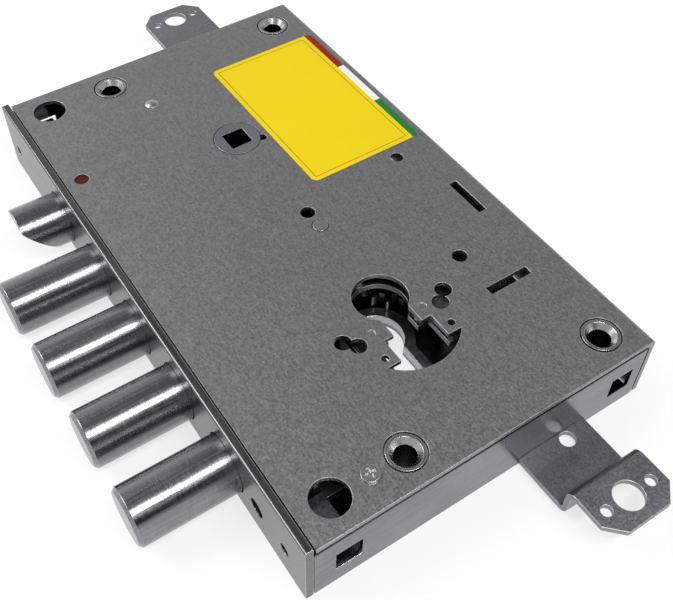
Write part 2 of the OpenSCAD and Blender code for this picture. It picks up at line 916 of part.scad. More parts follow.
// The rod hole and the two small holes in the end of a lug, centred on Y = 0
module lug_holes() {
    circle(r = lug_hole_radius);
    for (side = [-1, 1])
        translate([side * lug_small_spacing, 0])
            circle(r = lug_small_radius);
}

// The far rod plate's outline without its teeth: a narrow inner end, a middle and the lug
module far_rod_outline() {
    left_root = gear_x + step_radius + dedendum * small_module;
    right_root = far_rack_right_x - dedendum * small_module;
    right = rod_left_x + rod_width;
    end_y = case_length + far_lug_standout;
    polygon([
        [far_strip_x, far_strip_y], [right_root, far_strip_y], [right_root, far_mid_y], [right, far_mid_y],
        [right, end_y - lug_corner], [right - lug_corner, end_y], [rod_left_x + lug_corner, end_y],
        [rod_left_x, end_y - lug_corner], [rod_left_x, far_wide_y], [left_root, far_wide_y],
        [left_root, far_mid_y], [far_strip_x, far_mid_y]
    ]);
}

// The flat plate to the far rod, toothed on both sides of its inner end
module far_rod_plate() {
    slot_radius = stud_radius + gap;
    color("dimgray")
    sheet_z(far_rod_z, far_rod_z + rod_sheet)
        difference() {
            union() {
                far_rod_outline();
                translate([gear_x + step_radius, gear_y])
                    rotate(90)
                        rack_teeth(small_module, -2, 6);
                translate([far_rack_right_x, pinion_y])
                    rotate(-90)
                        rack_teeth(small_module, -8, 1);
            }
            for (y = far_post_y)
                slot_y(rod_x, y, y + rod_travel, slot_radius);
            translate([rod_x, case_length + far_lug_standout - lug_hole_inset])
                lug_holes();
        }
}

// A quarter bend of the near plate, about a line along X and turned about it
module sheet_bend(y, z, turn) {
    translate([rod_left_x, y, z])
        rotate([turn, 0, 0])
            rotate([90, 0, 90])
                linear_extrude(height = rod_width)
                    intersection() {
                        difference() {
                            circle(r = near_bend_radius);
                            circle(r = near_bend_radius - rod_sheet);
                        }
                        square(near_bend_radius + cut);
                    }
}

// The cranked plate to the near rod, toothed on the inner side of its arm
module near_rod_plate() {
    low = near_rod_z;
    high = near_rod_z + rod_sheet;
    root_x = near_rack_x + dedendum * small_module;
    lug_high = far_rod_z + rod_sheet;
    plate_low_y = near_bend_y + rod_sheet;
    lug_root_y = plate_low_y - near_bend_radius + lap;
    slot_radius = stud_radius + gap;
    color("dimgray") {
        sheet_z(low, high)
            difference() {
                union() {
                    area([rod_left_x, near_bend_y + near_bend_radius - lap],
                        [rod_left_x + rod_width, near_plate_end_y]);
                    area([rod_left_x, near_arm_low_y], [near_arm_right_x, near_plate_end_y]);
                    area([root_x, near_arm_low_y], [near_arm_right_x, pinion_y + 7]);
                    translate([near_rack_x, pinion_y])
                        rotate(90)
                            rack_teeth(small_module, -7, 1);
                }
                slot_y(rod_x, near_post_y - rod_travel, near_post_y, slot_radius);
                translate([rod_x + near_plate_hole[0], near_plate_hole[1]])
                    circle(r = near_plate_hole_radius);
            }
        box([rod_left_x, near_bend_y, low + near_bend_radius - lap],
            [rod_left_x + rod_width, plate_low_y, lug_high - near_bend_radius + lap]);
        sheet_bend(near_bend_y + near_bend_radius, low + near_bend_radius, 180);
        sheet_bend(plate_low_y - near_bend_radius, lug_high - near_bend_radius, 0);
        sheet_z(far_rod_z, lug_high)
            difference() {
                translate([rod_x, lug_root_y])
                    near_lug_outline(near_lug_standout + lug_root_y);
                translate([rod_x, lug_hole_inset - near_lug_standout])
                    lug_holes();
            }
    }
}

// The plated sleeve that guides the lower part of the cylinder
module cylinder_collar() {
    color("whitesmoke")
    sheet_z(tray_sheet, collar_top_z)
        difference() {
            cylinder_outline(collar_wall);
            cylinder_outline(0);
        }
}

// The hard plate under the cover that shields the mechanism around the cylinder, on three posts
module cylinder_guard() {
    top_z = guard_z + guard_sheet;
    tab_left_x = cylinder_x - guard_tab_half;
    tab_right_x = cylinder_x + guard_tab_half;
    outline = [
        [guard_left_x, guard_tab_y], [tab_left_x, guard_tab_y], [tab_left_x, guard_low_y],
        [tab_right_x, guard_low_y], [tab_right_x, guard_tab_y],
        [tab_right_x + guard_tab_width, guard_tab_y], [tab_right_x + guard_tab_width, guard_low_y],
        [guard_right_x, guard_low_y], [guard_right_x, guard_shoulder_y],
        [cylinder_x + guard_top_half, guard_top_y], [cylinder_x - guard_top_half, guard_top_y],
        [guard_left_x, guard_shoulder_y]
    ];
    color("gray") {
        sheet_z(guard_z, top_z)
            difference() {
                polygon(outline);
                cylinder_outline(gap);
            }
        for (at = guard_posts)
            bar_z(cylinder_x + at[0], cylinder_y + at[1], top_z - lap, cover_z, guard_post_radius);
    }
}

// The coloured plug in the cover over the latch
module latch_mark_plug() {
    sunk = 0.5;
    color("firebrick")
    bar_z(mark_hole[0], mark_hole[1], cover_z, case_thickness - sunk, mark_radius);
}

module label() {
    high_x = case_depth - label_back_gap;
    color("gold")
    box([high_x - label_width, label_end_y - label_length, case_thickness],
        [high_x, label_end_y, case_thickness + label_sheet]);
}

// Moves the drawing so that the centre of the fixing holes is the origin
module placed() {
    translate([-origin_x, -origin_y, 0])
        children();
}

placed() case_tray();
placed() cover_plate();
placed() face_plate();
placed() fixing_bushes();
placed() spacer_posts();
placed() cover_screw();
placed() cover_rivet();
placed() face_screw_blocks();
placed() dead_bolt(0);  // dead_bolt_1
placed() dead_bolt(1);  // dead_bolt_2
placed() dead_bolt(2);  // dead_bolt_3
placed() dead_bolt(3);  // dead_bolt_4
placed() bolt_screws();
placed() bolt_carrier();
placed() carrier_posts();
placed() latch_bolt();
placed() latch_spring();
placed() latch_guide();
placed() spindle_hub();
placed() drive_gear();
placed() drive_gear_axle();
placed() input_gear();
placed() input_gear_axle();
placed() reversing_pinion();
placed() reversing_pinion_axle();
placed() far_rod_plate();
placed() near_rod_plate();
placed() rod_guide_posts();
placed() retaining_washers();
placed() cylinder_collar();
placed() cylinder_guard();
placed() latch_mark_plug();
placed() label();
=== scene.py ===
import math

import bmesh
import bpy
from mathutils import Matrix, Vector


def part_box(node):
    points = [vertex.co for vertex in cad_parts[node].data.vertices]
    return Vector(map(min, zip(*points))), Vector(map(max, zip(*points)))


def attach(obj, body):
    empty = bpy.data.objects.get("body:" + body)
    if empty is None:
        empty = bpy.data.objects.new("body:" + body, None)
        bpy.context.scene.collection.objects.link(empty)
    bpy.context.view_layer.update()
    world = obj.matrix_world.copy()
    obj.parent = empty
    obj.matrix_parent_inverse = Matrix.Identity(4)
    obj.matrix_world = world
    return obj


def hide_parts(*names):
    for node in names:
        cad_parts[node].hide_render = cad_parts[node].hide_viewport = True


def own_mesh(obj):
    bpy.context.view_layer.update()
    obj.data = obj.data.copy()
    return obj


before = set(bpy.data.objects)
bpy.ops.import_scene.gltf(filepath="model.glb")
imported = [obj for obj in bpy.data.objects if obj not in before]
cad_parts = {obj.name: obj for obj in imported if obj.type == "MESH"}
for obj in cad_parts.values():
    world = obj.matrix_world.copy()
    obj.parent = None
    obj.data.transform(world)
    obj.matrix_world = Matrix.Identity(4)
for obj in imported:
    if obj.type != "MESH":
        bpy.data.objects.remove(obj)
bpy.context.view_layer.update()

MM = 0.001

# The colour of painted shade on steel, and of an edge that is rubbed bright and carries a painted
# highlight
PAINTED_SHADE = (0.025, 0.025, 0.03, 1.0)
WORN_HIGHLIT_EDGE = (0.72, 0.73, 0.75, 1.0)

# The places of a mix node's colour sockets, which share their names with its other sockets
MIX_FIRST = 6
MIX_SECOND = 7
MIX_RESULT = 2

# The camera, from the fit to the edges of the case, the bolts and the holes
IMAGE_WIDTH = 673
FOCAL_PIXELS = 973.08
CAMERA_AT = Vector((-0.12664, -0.18713, 0.25161))
CAMERA_RIGHT = Vector((0.841455, -0.540212, -0.011132))
CAMERA_DOWN = Vector((-0.407462, -0.620878, -0.669690))
CAMERA_AHEAD = Vector((0.354863, 0.568050, -0.742557))
CAMERA_SHIFT = (0.05201, -0.08172)


# Shader groups

class Group:
    """A shader node group that is being built, with short calls for its nodes, sockets and links."""

    def __init__(self, name, inputs, outputs):
        self.tree = bpy.data.node_groups.new(name, "ShaderNodeTree")
        for label, kind, value in inputs:
            socket = self.tree.interface.new_socket(label, in_out="INPUT", socket_type=kind)
            socket.default_value = value
        for label, kind in outputs:
            self.tree.interface.new_socket(label, in_out="OUTPUT", socket_type=kind)
        self.source = self.tree.nodes.new("NodeGroupInput")
        self.result = self.tree.nodes.new("NodeGroupOutput")

    def node(self, kind, **settings):
        """A new node with its settings, where inputs are numbers or sockets, by their names."""
        return make_node(self.tree, kind, **settings)

    def math(self, operation, first, second=0.0, clamp=False):
        """A math node's output for two numbers or sockets."""
        return make_math(self.tree, operation, first, second, clamp)

    def given(self, label):
        """The socket of one of the group's own inputs."""
        return self.source.outputs[label]

    def gives(self, label, socket):
        """Links a socket to one of the group's outputs."""
        self.tree.links.new(socket, self.result.inputs[label])


def feed(tree, target, value):
    """Sets an input to a number, or links it where the value is a socket."""
    if isinstance(value, bpy.types.NodeSocket):
        tree.links.new(value, target)
    else:
        target.default_value = value


def make_node(tree, kind, inputs=None, **settings):
    """A new node in a tree, with its properties and inputs set."""
    node = tree.nodes.new(kind)
    for name, value in settings.items():
        setattr(node, name, value)
    for name, value in (inputs or {}).items():
        feed(tree, node.inputs[name], value)
    return node


def make_math(tree, operation, first, second=0.0, clamp=False):
    """The output of a math node on two numbers or sockets."""
    node = make_node(tree, "ShaderNodeMath", operation=operation, use_clamp=clamp)
    feed(tree, node.inputs[0], first)
    feed(tree, node.inputs[1], second)
    return node.outputs[0]


def make_mix(tree, factor, first, second, blend="MIX"):
    """The colour output of a mix node."""
    node = make_node(tree, "ShaderNodeMix", data_type="RGBA", blend_type=blend)
    feed(tree, node.inputs["Factor"], factor)
    feed(tree, node.inputs[MIX_FIRST], first)
    feed(tree, node.inputs[MIX_SECOND], second)
    return node.outputs[MIX_RESULT]


def build_speckle():
    """Fine mottling of rolled or plated steel: a mask around one half, and a height."""
    group = Group(
        "fine_speckle",
        [("Grain Size", "NodeSocketFloat", 0.6 * MM), ("Cloud Size", "NodeSocketFloat", 20 * MM),
         ("Cloud Share", "NodeSocketFloat", 0.3)],
        [("Mask", "NodeSocketFloat"), ("Height", "NodeSocketFloat")])
    place = group.node("ShaderNodeTexCoord").outputs["Object"]
    noises = []
    for size in ("Grain Size", "Cloud Size"):
        scale = group.math("DIVIDE", 1.0, group.given(size))
        noise = group.node("ShaderNodeTexNoise", inputs={"Vector": place, "Scale": scale, "Detail": 3.0})
        noises.append(noise.outputs["Fac"])
    keep = group.math("SUBTRACT", 1.0, group.given("Cloud Share"))
    fine = group.math("MULTIPLY", noises[0], keep)
    cloud = group.math("MULTIPLY", noises[1], group.given("Cloud Share"))
    group.gives("Mask", group.math("ADD", fine, cloud))
    group.gives("Height", noises[0])
    return group.tree


def build_lines():
    """Fine lines left by turning or drawing, stretched along the direction with the least scale."""
    group = Group(
        "tool_lines",
        [("Stretch", "NodeSocketVector", (1.0, 1.0, 1.0))],
        [("Mask", "NodeSocketFloat")])
    place = group.node("ShaderNodeTexCoord").outputs["Object"]
    scaled = group.node("ShaderNodeVectorMath", operation="MULTIPLY")
    feed(group.tree, scaled.inputs[0], place)
    feed(group.tree, scaled.inputs[1], group.given("Stretch"))
    noise = group.node("ShaderNodeTexNoise",
                       inputs={"Vector": scaled.outputs[0], "Scale": 1.0, "Detail": 4.0})
    group.gives("Mask", noise.outputs["Fac"])
    return group.tree


def build_edge_wear_and_highlight():
    """Brighter edges, rubbed and with a painted highlight: a mask where the surface turns sharply, and
    the rounded normal.
    """
    group = Group(
        "rubbed_highlit_edges",
        [("Radius", "NodeSocketFloat", 0.4 * MM), ("Gain", "NodeSocketFloat", 6.0)],
        [("Mask", "NodeSocketFloat"), ("Normal", "NodeSocketVector")])
    bevel = group.node("ShaderNodeBevel", samples=8, inputs={"Radius": group.given("Radius")})
    flat = group.node("ShaderNodeNewGeometry")
    dot = group.node("ShaderNodeVectorMath", operation="DOT_PRODUCT")
    group.tree.links.new(bevel.outputs["Normal"], dot.inputs[0])
    group.tree.links.new(flat.outputs["Normal"], dot.inputs[1])
    turned = group.math("SUBTRACT", 1.0, dot.outputs["Value"])
    group.gives("Mask", group.math("MULTIPLY", turned, group.given("Gain"), clamp=True))
    group.gives("Normal", bevel.outputs["Normal"])
    return group.tree


SPECKLE = build_speckle()
LINES = build_lines()
EDGE_WEAR_AND_HIGHLIGHT = build_edge_wear_and_highlight()


# Materials

def placed_group(tree, group, **values):
    """A group placed in a material, with its inputs set by name: an underscore stands for a space."""
    node = make_node(tree, "ShaderNodeGroup", node_tree=group)
    for name, value in values.items():
        feed(tree, node.inputs[name.replace("_", " ")], value)
    return node


def new_material(name):
    """An empty node material and its Principled shader."""
    material = bpy.data.materials.new(name)
    material.use_nodes = True
    tree = material.node_tree
    return material, tree, tree.nodes["Principled BSDF"]


def grey(level, tint=0.0):
    """A grey as a colour, with a tint towards blue."""
    return (level * (1 - tint), level * (1 - tint * 0.6), level * (1 + tint), 1.0)


def set_gloss(tree, shader, mask, roughness, spread):
    """A roughness that a mask moves through a spread around its middle value."""
    rough = make_math(tree, "MULTIPLY_ADD", mask, spread)
    least = rough.node.inputs[2]
    least.default_value = roughness - spread / 2
    tree.links.new(rough, shader.inputs["Roughness"])


def set_relief(tree, shader, height, strength, depth, normal=None):
    """A bump of a height, with its depth in metres, over a rounded normal where one is given."""
    relief = make_node(tree, "ShaderNodeBump", inputs={"Strength": strength, "Distance": depth})
    tree.links.new(height, relief.inputs["Height"])
    if normal is not None:
        tree.links.new(normal, relief.inputs["Normal"])
    tree.links.new(relief.outputs["Normal"], shader.inputs["Normal"])


def blended(tree, first, second):
    """The mean of two masks."""
    return make_math(tree, "MULTIPLY", make_math(tree, "ADD", first, second), 0.5)


def band(tree, coordinate, low, high):
    """A mask that is one where a coordinate lies between two values, in metres."""
    above = make_math(tree, "GREATER_THAN", coordinate, low)
    below = make_math(tree, "LESS_THAN", coordinate, high)
    return make_math(tree, "MULTIPLY", above, below)


def box_mask(tree, low, high):
    """A mask that is one inside a box between two corners."""
    place = make_node(tree, "ShaderNodeTexCoord").outputs["Object"]
    parts = make_node(tree, "ShaderNodeSeparateXYZ", inputs={"Vector": place})
    mask = band(tree, parts.outputs["X"], low.x, high.x)
    mask = make_math(tree, "MULTIPLY", mask, band(tree, parts.outputs["Y"], low.y, high.y))
    return make_math(tree, "MULTIPLY", mask, band(tree, parts.outputs["Z"], low.z, high.z))


def seam_shade_mask(tree, centre, radius):
    """A mask of painted shade that is strong inside an upright round seam and fades outwards over the
    seam's width.
    """
    width = 0.7 * MM
    strongest = 0.85
    place = make_node(tree, "ShaderNodeTexCoord").outputs["Object"]
    flat = make_node(tree, "ShaderNodeVectorMath", operation="MULTIPLY")
    tree.links.new(place, flat.inputs[0])
    flat.inputs[1].default_value = (1.0, 1.0, 0.0)
    reach = make_node(tree, "ShaderNodeVectorMath", operation="DISTANCE")
    tree.links.new(flat.outputs["Vector"], reach.inputs[0])
    reach.inputs[1].default_value = (centre.x, centre.y, 0.0)
    ends = {"From Min": radius, "From Max": radius + width, "To Min": strongest, "To Max": 0.0}
    fade = make_node(tree, "ShaderNodeMapRange", inputs=ends)
    tree.links.new(reach.outputs["Value"], fade.inputs["Value"])
    return fade.outputs["Result"]


def joined_points(first, unseen):
    """The places of a vertex and of all that its edges lead to, taken out of the unseen ones."""
    unseen.remove(first)
    waiting = [first]
    points = []
    while waiting:
        vertex = waiting.pop()
        points.append(vertex.co.copy())
        beside = {edge.other_vert(vertex) for edge in vertex.link_edges} & unseen
        unseen.difference_update(beside)
        waiting.extend(beside)
    return points


def round_tops(node_name):
    """The centre and the radius of the round top of each solid in a node."""
    shape = bmesh.new()
    shape.from_mesh(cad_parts[node_name].data)
    bmesh.ops.remove_doubles(shape, verts=shape.verts, dist=0.001 * MM)
    rim_depth = 0.05 * MM
    unseen = set(shape.verts)
    tops = []
    for vertex in shape.verts:
        if vertex in unseen:
            points = joined_points(vertex, unseen)
            highest = max(point.z for point in points)
            rim = [point for point in points if point.z > highest - rim_depth]
            left = min(point.x for point in rim)
            right = max(point.x for point in rim)
            near = min(point.y for point in rim)
            far = max(point.y for point in rim)
            centre = Vector(((left + right) / 2, (near + far) / 2))
            tops.append((centre, (right - left) / 2))
    shape.free()
    return tops


def cover_seams():
    """The round seams of the pieces that stand flush in the cover."""
    seams = []
    for flush_node in ("spindle_hub", "fixing_bushes", "drive_gear_axle"):
        seams.extend(round_tops(flush_node))
    return seams


def below_top(node_name, depth):
    """The box of a node, from just under its foot up to a depth below its top."""
    low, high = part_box(node_name)
    margin = Vector((MM, MM, MM))
    return low - margin, Vector((high.x + MM, high.y + MM, high.z - depth))


def tray_inside():
    """The room inside the tray's walls, and the narrow seam along the top of the walls, where shade is
    painted.
    """
    wall = 1.25 * MM
    seam_depth = 0.7 * MM
    margin = Vector((MM, MM, MM))
    low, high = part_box("case_tray")
    room = (low + Vector((wall, wall, wall)), Vector((high.x + MM, high.y - wall, high.z + MM)))
    seam = (Vector((low.x - MM, low.y - MM, high.z - seam_depth)), high + margin)
    return [room, seam]


def metal(name, dark, light, roughness, spread=0.1, grain=0.5 * MM, cloud=20 * MM, cloud_share=0.3,
          bump=0.15, edge=0.35, radius=0.3 * MM, stretches=(), shade_boxes=(), seams=()):
    """A bare or plated steel: speckled between two colours, with rubbed edges that carry a painted
    highlight, and an uneven gloss.

    Each stretch in the list adds one set of fine lines, as from rolling, drawing or turning. In each
    shade box, given by its lowest and highest corners, the steel is darkened with painted shade, and so
    it is in a thin line outside each round seam, given by its centre and radius, as painted seam shadow.
    """
    darkest_from = 0.35
    lightest_from = 0.65
    material, tree, shader = new_material(name)
    speckle = placed_group(tree, SPECKLE, Grain_Size=grain, Cloud_Size=cloud, Cloud_Share=cloud_share)
    mask = speckle.outputs["Mask"]
    height = speckle.outputs["Height"]
    for stretch in stretches:
        lines = placed_group(tree, LINES, Stretch=stretch)
        mask = blended(tree, mask, lines.outputs["Mask"])
        height = blended(tree, height, lines.outputs["Mask"])
    ends = {"From Min": darkest_from, "From Max": lightest_from}
    contrast = make_node(tree, "ShaderNodeMapRange", inputs=ends)
    tree.links.new(mask, contrast.inputs["Value"])
    mottling = contrast.outputs["Result"]
    wear_and_highlight = placed_group(tree, EDGE_WEAR_AND_HIGHLIGHT, Radius=radius)
    worn_and_highlit = make_math(tree, "MULTIPLY", wear_and_highlight.outputs["Mask"], edge)
    base = make_mix(tree, mottling, dark, light)
    # Rubbed edges, lightened further as a painted highlight
    base = make_mix(tree, worn_and_highlit, base, WORN_HIGHLIT_EDGE)
    # Painted shade: the steel goes dark inside each shade box
    for low, high in shade_boxes:
        base = make_mix(tree, box_mask(tree, low, high), base, PAINTED_SHADE)
    # Painted shade: a dark ring just outside each round seam
    for centre, seam_radius in seams:
        base = make_mix(tree, seam_shade_mask(tree, centre, seam_radius), base, PAINTED_SHADE)
    tree.links.new(base, shader.inputs["Base Color"])
    shader.inputs["Metallic"].default_value = 1.0
    set_gloss(tree, shader, mottling, roughness, spread)
    set_relief(tree, shader, height, bump, depth=0.05 * MM, normal=wear_and_highlight.outputs["Normal"])
    return material


def label_material():
    """The yellow label: a thin frame line, and a stripe in three fields along its back edge."""
    border = 1.6 * MM
    line = 0.35 * MM
    stripe = 2.6 * MM
    yellows = ((0.60, 0.44, 0.002, 1), (0.71, 0.53, 0.003, 1))
    line_brown = (0.30, 0.20, 0.01, 1)
    green = (0.008, 0.15, 0.03, 1)
    white = (0.66, 0.66, 0.64, 1)
    red = (0.21, 0.012, 0.01, 1)
    material, tree, shader = new_material("label_print")
    low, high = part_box("label")
    place = make_node(tree, "ShaderNodeTexCoord").outputs["Object"]
    parts = make_node(tree, "ShaderNodeSeparateXYZ", inputs={"Vector": place})
    x = parts.outputs["X"]
    y = parts.outputs["Y"]

    def inset(distance):
        """A mask of the yellow field without a rim of the given width."""
        across = band(tree, x, low.x + distance, high.x - stripe - distance)
        return make_math(tree, "MULTIPLY", across, band(tree, y, low.y + distance, high.y - distance))

    frame_line = make_math(tree, "SUBTRACT", inset(border), inset(border + line))
    speckle = placed_group(tree, SPECKLE, Grain_Size=0.9 * MM, Cloud_Size=30 * MM, Cloud_Share=0.7)
    mottling = speckle.outputs["Mask"]
    colour = make_mix(tree, mottling, *yellows)
    colour = make_mix(tree, frame_line, colour, line_brown)
    on_stripe = band(tree, x, high.x - stripe, high.x + stripe)
    third = (high.y - low.y) / 3
    for index, tone in enumerate((green, white, red)):
        along = band(tree, y, low.y + index * third, low.y + (index + 1) * third)
        colour = make_mix(tree, make_math(tree, "MULTIPLY", on_stripe, along), colour, tone)
    tree.links.new(colour, shader.inputs["Base Color"])
    shader.inputs["Specular IOR Level"].default_value = 0.15
    set_gloss(tree, shader, mottling, roughness=0.495, spread=0.15)
    set_relief(tree, shader, speckle.outputs["Height"], strength=0.1, depth=0.03 * MM)
    return material


def lacquer_material(name, dark, light):
    """A dull paint, for the filled mark beside the latch."""
    material, tree, shader = new_material(name)
    speckle = placed_group(tree, SPECKLE, Grain_Size=0.4 * MM, Cloud_Size=3 * MM, Cloud_Share=0.5)
    mottling = speckle.outputs["Mask"]
    tree.links.new(make_mix(tree, mottling, dark, light), shader.inputs["Base Color"])
    shader.inputs["Specular IOR Level"].default_value = 0.2
    set_gloss(tree, shader, mottling, roughness=0.6, spread=0.2)
    return material


MATERIALS = {
    # dull zinc plate of the cover, with fine crossing lines, and painted shade in a ring round each flush
    # piece
    "zinc_sheet": metal(
        "zinc_sheet", dark=grey(0.20, 0.03), light=grey(0.35), roughness=0.42, spread=0.12,
        grain=0.3 * MM, cloud=30 * MM, cloud_share=0.15, bump=0.7, edge=0.2, radius=0.4 * MM,
        stretches=[(1800.0, 500.0, 700.0), (1900.0, 1500.0, 700.0)], seams=cover_seams()),
    # smooth bright sheet of the tray, cloudy, with lines along its walls, and painted shade inside the
    # walls and along their tops
    "bright_sheet": metal(
        "bright_sheet", dark=grey(0.12, 0.05), light=grey(0.23, 0.03), roughness=0.22, spread=0.12,
        grain=0.8 * MM, cloud=12 * MM, cloud_share=0.7, bump=0.08, edge=0.4, radius=0.4 * MM,
        stretches=[(60.0, 60.0, 700.0)], shade_boxes=tray_inside()),
    # face plate, brushed along its length
    "face_bar": metal(
        "face_bar", dark=grey(0.10), light=grey(0.17), roughness=0.28, grain=0.6 * MM, bump=0.1,
        edge=0.5, radius=0.5 * MM, stretches=[(900.0, 40.0, 900.0)]),
    # nickel of the turned bolts and the latch, with marks round them and along them
    "turned_nickel": metal(
        "turned_nickel", dark=grey(0.19, 0.04), light=grey(0.31, 0.02), roughness=0.25, spread=0.12,
        grain=0.4 * MM, bump=0.8, edge=0.7,
        stretches=[(1800.0, 300.0, 300.0), (60.0, 1400.0, 1400.0)]),
    # grey steel of the rod plates, the carrier and the latch guide
    "plain_steel": metal(
        "plain_steel", dark=grey(0.20, 0.05), light=grey(0.31, 0.04), roughness=0.38, spread=0.12,
        grain=0.6 * MM, bump=0.35, edge=0.5, radius=0.4 * MM),
    # steel of the collar round the cylinder, lightened as painted light where the cover shades it
    "collar_steel": metal(
        "collar_steel", dark=grey(0.36, 0.03), light=grey(0.48, 0.02), roughness=0.34, spread=0.12,
        grain=1.2 * MM, bump=0.05, edge=0.5, radius=0.4 * MM),
    # screws, rivet, posts, washers and axles
    "fastener_steel": metal(
        "fastener_steel", dark=grey(0.34), light=grey(0.46), roughness=0.30, bump=0.1, edge=0.15),
    # turned bushes, with painted shade below their countersinks
    "bush_steel": metal(
        "bush_steel", dark=grey(0.32), light=grey(0.43), roughness=0.26, bump=0.05, edge=0.15,
        shade_boxes=[below_top("fixing_bushes", 1.8 * MM)]),
    # darker steel of the guard plate and the screw blocks, as painted shade inside the case
    "inner_steel": metal(
        "inner_steel", dark=grey(0.12, 0.04), light=grey(0.22, 0.04), roughness=0.35, spread=0.12,
        grain=0.7 * MM, bump=0.3, edge=0.2),
    # handle hub, with painted shade below its face
    "hub_steel": metal(
        "hub_steel", dark=grey(0.22, 0.05), light=grey(0.33, 0.05), roughness=0.36, edge=0.1,
        shade_boxes=[below_top("spindle_hub", 0.5 * MM)]),
    # cut gears
    "gear_steel": metal(
        "gear_steel", dark=grey(0.16), light=grey(0.26), roughness=0.34, grain=0.6 * MM, bump=0.2),
    # spring wire
    "spring_steel": metal(
        "spring_steel", dark=grey(0.20), light=grey(0.30), roughness=0.25, spread=0.05,
        grain=0.4 * MM, bump=0.05),
    # dark red mark beside the latch
    "red_lacquer": lacquer_material("red_lacquer", (0.03, 0.003, 0.003, 1), (0.08, 0.006, 0.006, 1)),
    # printed film of the label
    "label_print": label_material(),
}


# Objects and their finishes

def new_object(name, shape):
    """An object of the scene with a shape for its mesh."""
    mesh = bpy.data.meshes.new(name)
    shape.to_mesh(mesh)
    shape.free()
    made = bpy.data.objects.new(name, mesh)
    bpy.context.scene.collection.objects.link(made)
    return made


def paint(obj, material):
    """Gives an object one material in place of those it came with."""
    obj.data.materials.clear()
    obj.data.materials.append(material)


FINISHES = {
    "zinc_sheet": ["cover_plate"],
    "bright_sheet": ["case_tray"],
    "face_bar": ["face_plate"],
    "turned_nickel": ["dead_bolt_1", "dead_bolt_2", "dead_bolt_3", "dead_bolt_4", "latch_bolt"],
    "plain_steel": ["far_rod_plate", "near_rod_plate", "bolt_carrier", "latch_guide"],
    "collar_steel": ["cylinder_collar"],
    "inner_steel": ["cylinder_guard", "face_screw_blocks"],
    "bush_steel": ["fixing_bushes"],
    "fastener_steel": ["cover_screw", "cover_rivet", "bolt_screws", "spacer_posts",
                       "carrier_posts", "rod_guide_posts", "retaining_washers",
                       "drive_gear_axle", "input_gear_axle", "reversing_pinion_axle"],
    "hub_steel": ["spindle_hub"],
    "gear_steel": ["drive_gear", "input_gear", "reversing_pinion"],
    "spring_steel": ["latch_spring"],
    "red_lacquer": ["latch_mark_plug"],
    "label_print": ["label"],
}

for finish, names in FINISHES.items():
    for node_name in names:
        paint(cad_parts[node_name], MATERIALS[finish])


# The label's sheet

def rounded_sheet(low, high, corner_radius):
    """A flat sheet with round corners that fills the box between two corners."""
    arc_steps = 8
    left = low.x + corner_radius
    right = high.x - corner_radius
    near = low.y + corner_radius
    far = high.y - corner_radius
    shape = bmesh.new()
    rim = []
    for quarter, (x, y) in enumerate([(right, far), (left, far), (left, near), (right, near)]):
        for step in range(arc_steps + 1):
            angle = math.pi / 2 * (quarter + step / arc_steps)
            across = Vector((math.cos(angle), math.sin(angle))) * corner_radius
            rim.append(shape.verts.new((x + across.x, y + across.y, low.z)))
    bottom = shape.faces.new(rim)
    raised = bmesh.ops.extrude_face_region(shape, geom=[bottom])["geom"]
    raised = [part for part in raised if isinstance(part, bmesh.types.BMVert)]
    bmesh.ops.translate(shape, verts=raised, vec=(0.0, 0.0, high.z - low.z))
    bmesh.ops.recalc_face_normals(shape, faces=shape.faces)
    return new_object("label_sheet", shape)


label_sheet = rounded_sheet(*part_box("label"), corner_radius=2 * MM)
paint(label_sheet, MATERIALS["label_print"])
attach(label_sheet, "case")
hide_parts("label")


# The wound spring behind the latch

def spring_coil(low, high, wire_radius, turns):
    """One unbroken helix of round wire along X that fills the box between two corners."""
    points_per_turn = 32
    wire_sides = 10
    along = Vector((1.0, 0.0, 0.0))
    start = Vector((low.x + wire_radius, (low.y + high.y) / 2, (low.z + high.z) / 2))
    length = high.x - low.x - 2 * wire_radius
    coil_radius = (high.y - low.y) / 2 - wire_radius
    steps = turns * points_per_turn
    shape = bmesh.new()
    rings = []
    for step in range(steps + 1):
        angle = 2 * math.pi * step / points_per_turn
        outward = Vector((0.0, math.cos(angle), math.sin(angle)))
        centre = start + along * (length * step / steps) + outward * coil_radius
        ring = []
        for side in range(wire_sides):
            turn = 2 * math.pi * side / wire_sides
            offset = (outward * math.cos(turn) + along * math.sin(turn)) * wire_radius
            ring.append(shape.verts.new(centre + offset))
        rings.append(ring)
    for first, second in zip(rings, rings[1:]):
        for side in range(wire_sides):
            after = (side + 1) % wire_sides
            shape.faces.new((first[side], first[after], second[after], second[side]))
    shape.faces.new(rings[0])
    shape.faces.new(rings[-1])
    bmesh.ops.recalc_face_normals(shape, faces=shape.faces)
    for face in shape.faces:
        face.smooth = True
    return new_object("latch_coil", shape)


# The box that the spring behind the latch fills
SPRING_LOW, SPRING_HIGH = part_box("latch_spring")
latch_coil = spring_coil(SPRING_LOW, SPRING_HIGH, wire_radius=0.6 * MM, turns=7)
paint(latch_coil, MATERIALS["spring_steel"])
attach(latch_coil, "case")
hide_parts("latch_spring")
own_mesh(latch_coil)


# Floor, light and camera

